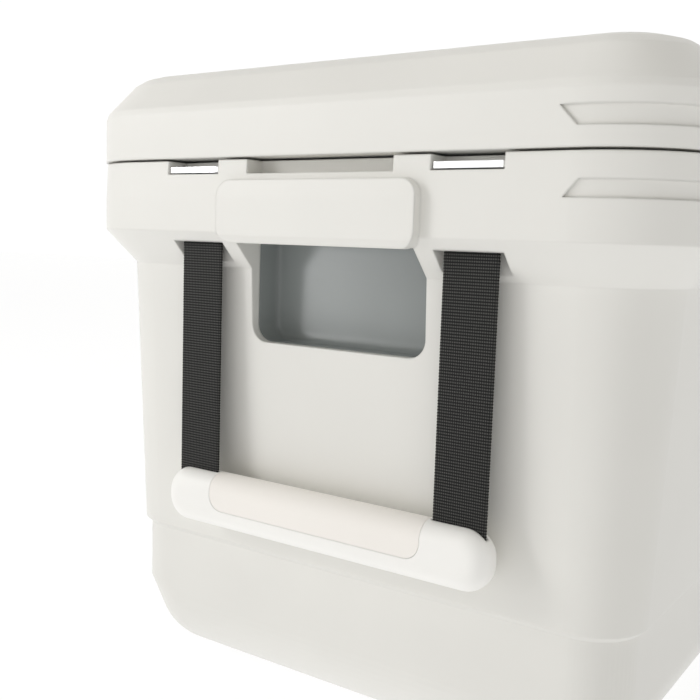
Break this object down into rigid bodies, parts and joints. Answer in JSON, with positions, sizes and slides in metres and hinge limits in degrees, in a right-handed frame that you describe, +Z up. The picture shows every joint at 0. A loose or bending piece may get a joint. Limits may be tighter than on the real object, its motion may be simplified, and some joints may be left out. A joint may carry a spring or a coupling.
{
  "type": "cooler chest",
  "caption": "Hard-sided insulated cooler chest with a hinged chamfered lid, webbing carry handles, finger cups, front latches and a side drain.",
  "frame": {"origin": "centre of the bounding box at the bottom of the feet", "axes": "+X along the length (the drain end is +X), front with the latches faces -Y, hinges at +Y, +Z up"},
  "size_m": [0.794, 0.52, 0.469],
  "materials": {
    "shell_white": "satin",
    "liner_white": "satin",
    "foam_cream": "matte",
    "cup_grey": "matte",
    "steel": "satin",
    "webbing": "matte",
    "black_rubber": "matte",
    "grip_white": "satin",
    "grip_soft": "matte",
    "drain_black": "satin",
    "gasket_grey": "matte"
  },
  "bodies": {
    "chest": {"outer_shell": "shell_white", "inner_liner": "liner_white", "body_foam": "foam_cream", "hand_cup_left": "cup_grey", "hand_cup_right": "cup_grey", "strap_anchors": "steel", "anchor_screws": "steel", "strap_roots": "webbing", "feet": "black_rubber", "foot_screws": "steel", "hinge_body_leaves": "steel", "hinge_body_screws": "steel", "hinge_pins": "steel", "latch_brackets": "steel", "latch_bracket_screws": "steel", "latch_pins": "steel", "drain_body": "drain_black", "drain_nut": "drain_black", "drain_washer": "black_rubber"},
    "lid": {"lid_shell": "shell_white", "lid_liner": "liner_white", "lid_foam": "foam_cream", "lid_gasket": "gasket_grey", "hinge_lid_leaves": "steel", "hinge_lid_screws": "steel", "latch_keepers": "steel", "keeper_screws": "steel"},
    "latch_a": {"latch_left": "black_rubber"},
    "latch_b": {"latch_right": "black_rubber"},
    "handle_a": {"straps_left": "webbing", "grip_core_left": "grip_white", "grip_insert_left": "grip_soft", "grip_rods_left": "steel"},
    "handle_b": {"straps_right": "webbing", "grip_core_right": "grip_white", "grip_insert_right": "grip_soft", "grip_rods_right": "steel"},
    "drain_plug": {"drain_cap": "drain_black"}
  },
  "joints": [
    {"name": "lid_hinge", "type": "hinge", "parent": "chest", "child": "lid", "pos_m": [0, 0.253, 0.4], "axis": [-1, 0, 0], "range_deg": [0, 100]},
    {"name": "latch_left_pivot", "type": "hinge", "parent": "chest", "child": "latch_a", "pos_m": [-0.2, -0.246, 0.362], "axis": [1, 0, 0], "range_deg": [0, 180]},
    {"name": "latch_right_pivot", "type": "hinge", "parent": "chest", "child": "latch_b", "pos_m": [0.2, -0.246, 0.362], "axis": [1, 0, 0], "range_deg": [0, 180]},
    {"name": "handle_left_swing", "type": "hinge", "parent": "chest", "child": "handle_a", "pos_m": [-0.3775, 0, 0.34], "axis": [0, 1, 0], "range_deg": [0, 90]},
    {"name": "handle_right_swing", "type": "hinge", "parent": "chest", "child": "handle_b", "pos_m": [0.3775, 0, 0.34], "axis": [0, -1, 0], "range_deg": [0, 90]},
    {"name": "drain_cap_turn", "type": "hinge", "parent": "chest", "child": "drain_plug", "pos_m": [0.366, 0, 0.06], "axis": [1, 0, 0], "range_deg": [0, 720]}
  ]
}
